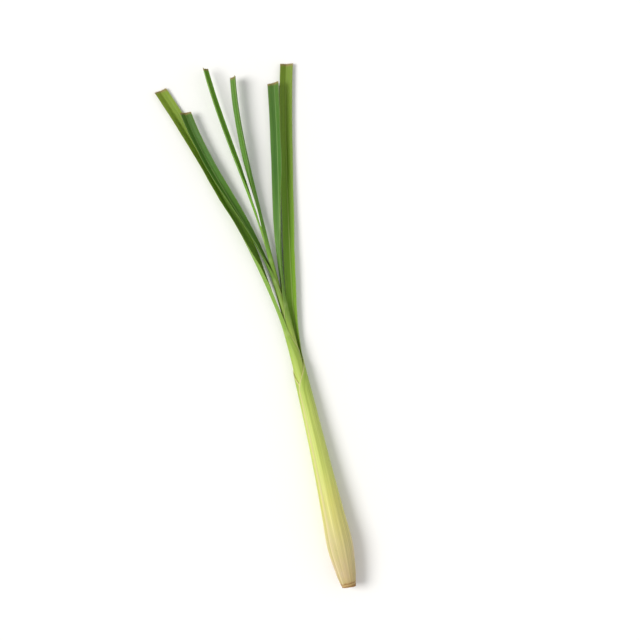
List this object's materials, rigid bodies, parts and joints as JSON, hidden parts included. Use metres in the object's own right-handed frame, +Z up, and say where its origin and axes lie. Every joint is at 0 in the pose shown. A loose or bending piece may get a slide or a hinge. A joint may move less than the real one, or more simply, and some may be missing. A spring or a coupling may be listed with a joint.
{
  "type": "lemongrass stalk",
  "caption": "Cut lemongrass stalk lying down, with a pale bulb at one end and a rolled shank that opens into a fan of long folded green leaf blades cut square at the tips",
  "frame": {"origin": "middle of the bounding box's footprint, on the surface that the stalk lies on", "axes": "+Y along the stalk from the cut stem to the cut blade tips, +X across the fan of blades, +Z up"},
  "size_m": [0.1158, 0.4415, 0.0212],
  "materials": {
    "stem": "raw cut stem, pale tan and fibrous, matt",
    "outer_leaf": "waxy satin leaf: cream and faint lilac at the bulb, yellow-green up the sheath, green along the blade",
    "leaf": "waxy satin leaf: cream low in the roll, fresh green to blue-green along the blade, dried tan at the cut tip",
    "inner_leaf": "waxy satin leaf, younger and a little yellower green, dried tan at the cut tip"
  },
  "bodies": {
    "root": {"stem_base": "stem", "leaf_1": "outer_leaf", "leaf_2": "leaf", "leaf_3": "leaf", "leaf_4": "leaf", "leaf_5": "inner_leaf", "heart_leaf": "inner_leaf"}
  },
  "joints": []
}
